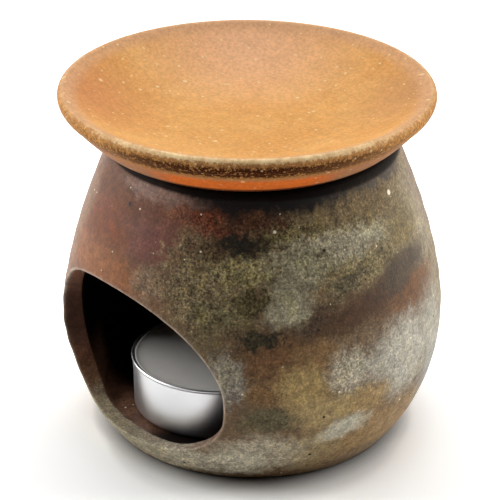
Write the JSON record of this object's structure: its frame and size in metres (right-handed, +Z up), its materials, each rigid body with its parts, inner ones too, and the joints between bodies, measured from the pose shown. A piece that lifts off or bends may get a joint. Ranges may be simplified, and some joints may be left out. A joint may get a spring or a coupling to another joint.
{
  "type": "tea incense burner",
  "caption": "Round stoneware burner with a side window, a shallow dish resting on its mouth and a tealight inside, which warms dry tea leaves so that they scent a room.",
  "frame": {"origin": "middle of the pot's flat base, on the table", "axes": "+Z up along the pot's turning axis, -Y out through the middle of the window"},
  "size_m": [0.0817, 0.082, 0.0776],
  "materials": {
    "pot_stoneware": "unglazed, wood-fired, satin with dry ash patches",
    "dish_stoneware": "unglazed, orange-fired, satin",
    "cup_foil": "bright drawn sheet",
    "paraffin": "waxy, translucent",
    "wick_cotton": "braided cotton",
    "tab_tinplate": "stamped tinplate"
  },
  "bodies": {
    "pot": {"pot_body": "pot_stoneware"},
    "dish": {"tea_dish": "dish_stoneware"},
    "candle_holder": {"candle_cup": "cup_foil"},
    "candle_fill": {"candle_wax": "paraffin", "candle_wick": "wick_cotton", "wick_tab": "tab_tinplate"}
  },
  "joints": [
    {"name": "dish_lift", "type": "slide", "parent": "pot", "child": "dish", "axis": [0, 0, 1], "range_m": [0, 0.07]},
    {"name": "candle_slide", "type": "slide", "parent": "pot", "child": "candle_holder", "axis": [0, -0.9659, 0.2588], "range_m": [0, 0.06]},
    {"name": "wax_lift", "type": "slide", "parent": "candle_holder", "child": "candle_fill", "axis": [0, 0, 1], "range_m": [0, 0.014]}
  ]
}
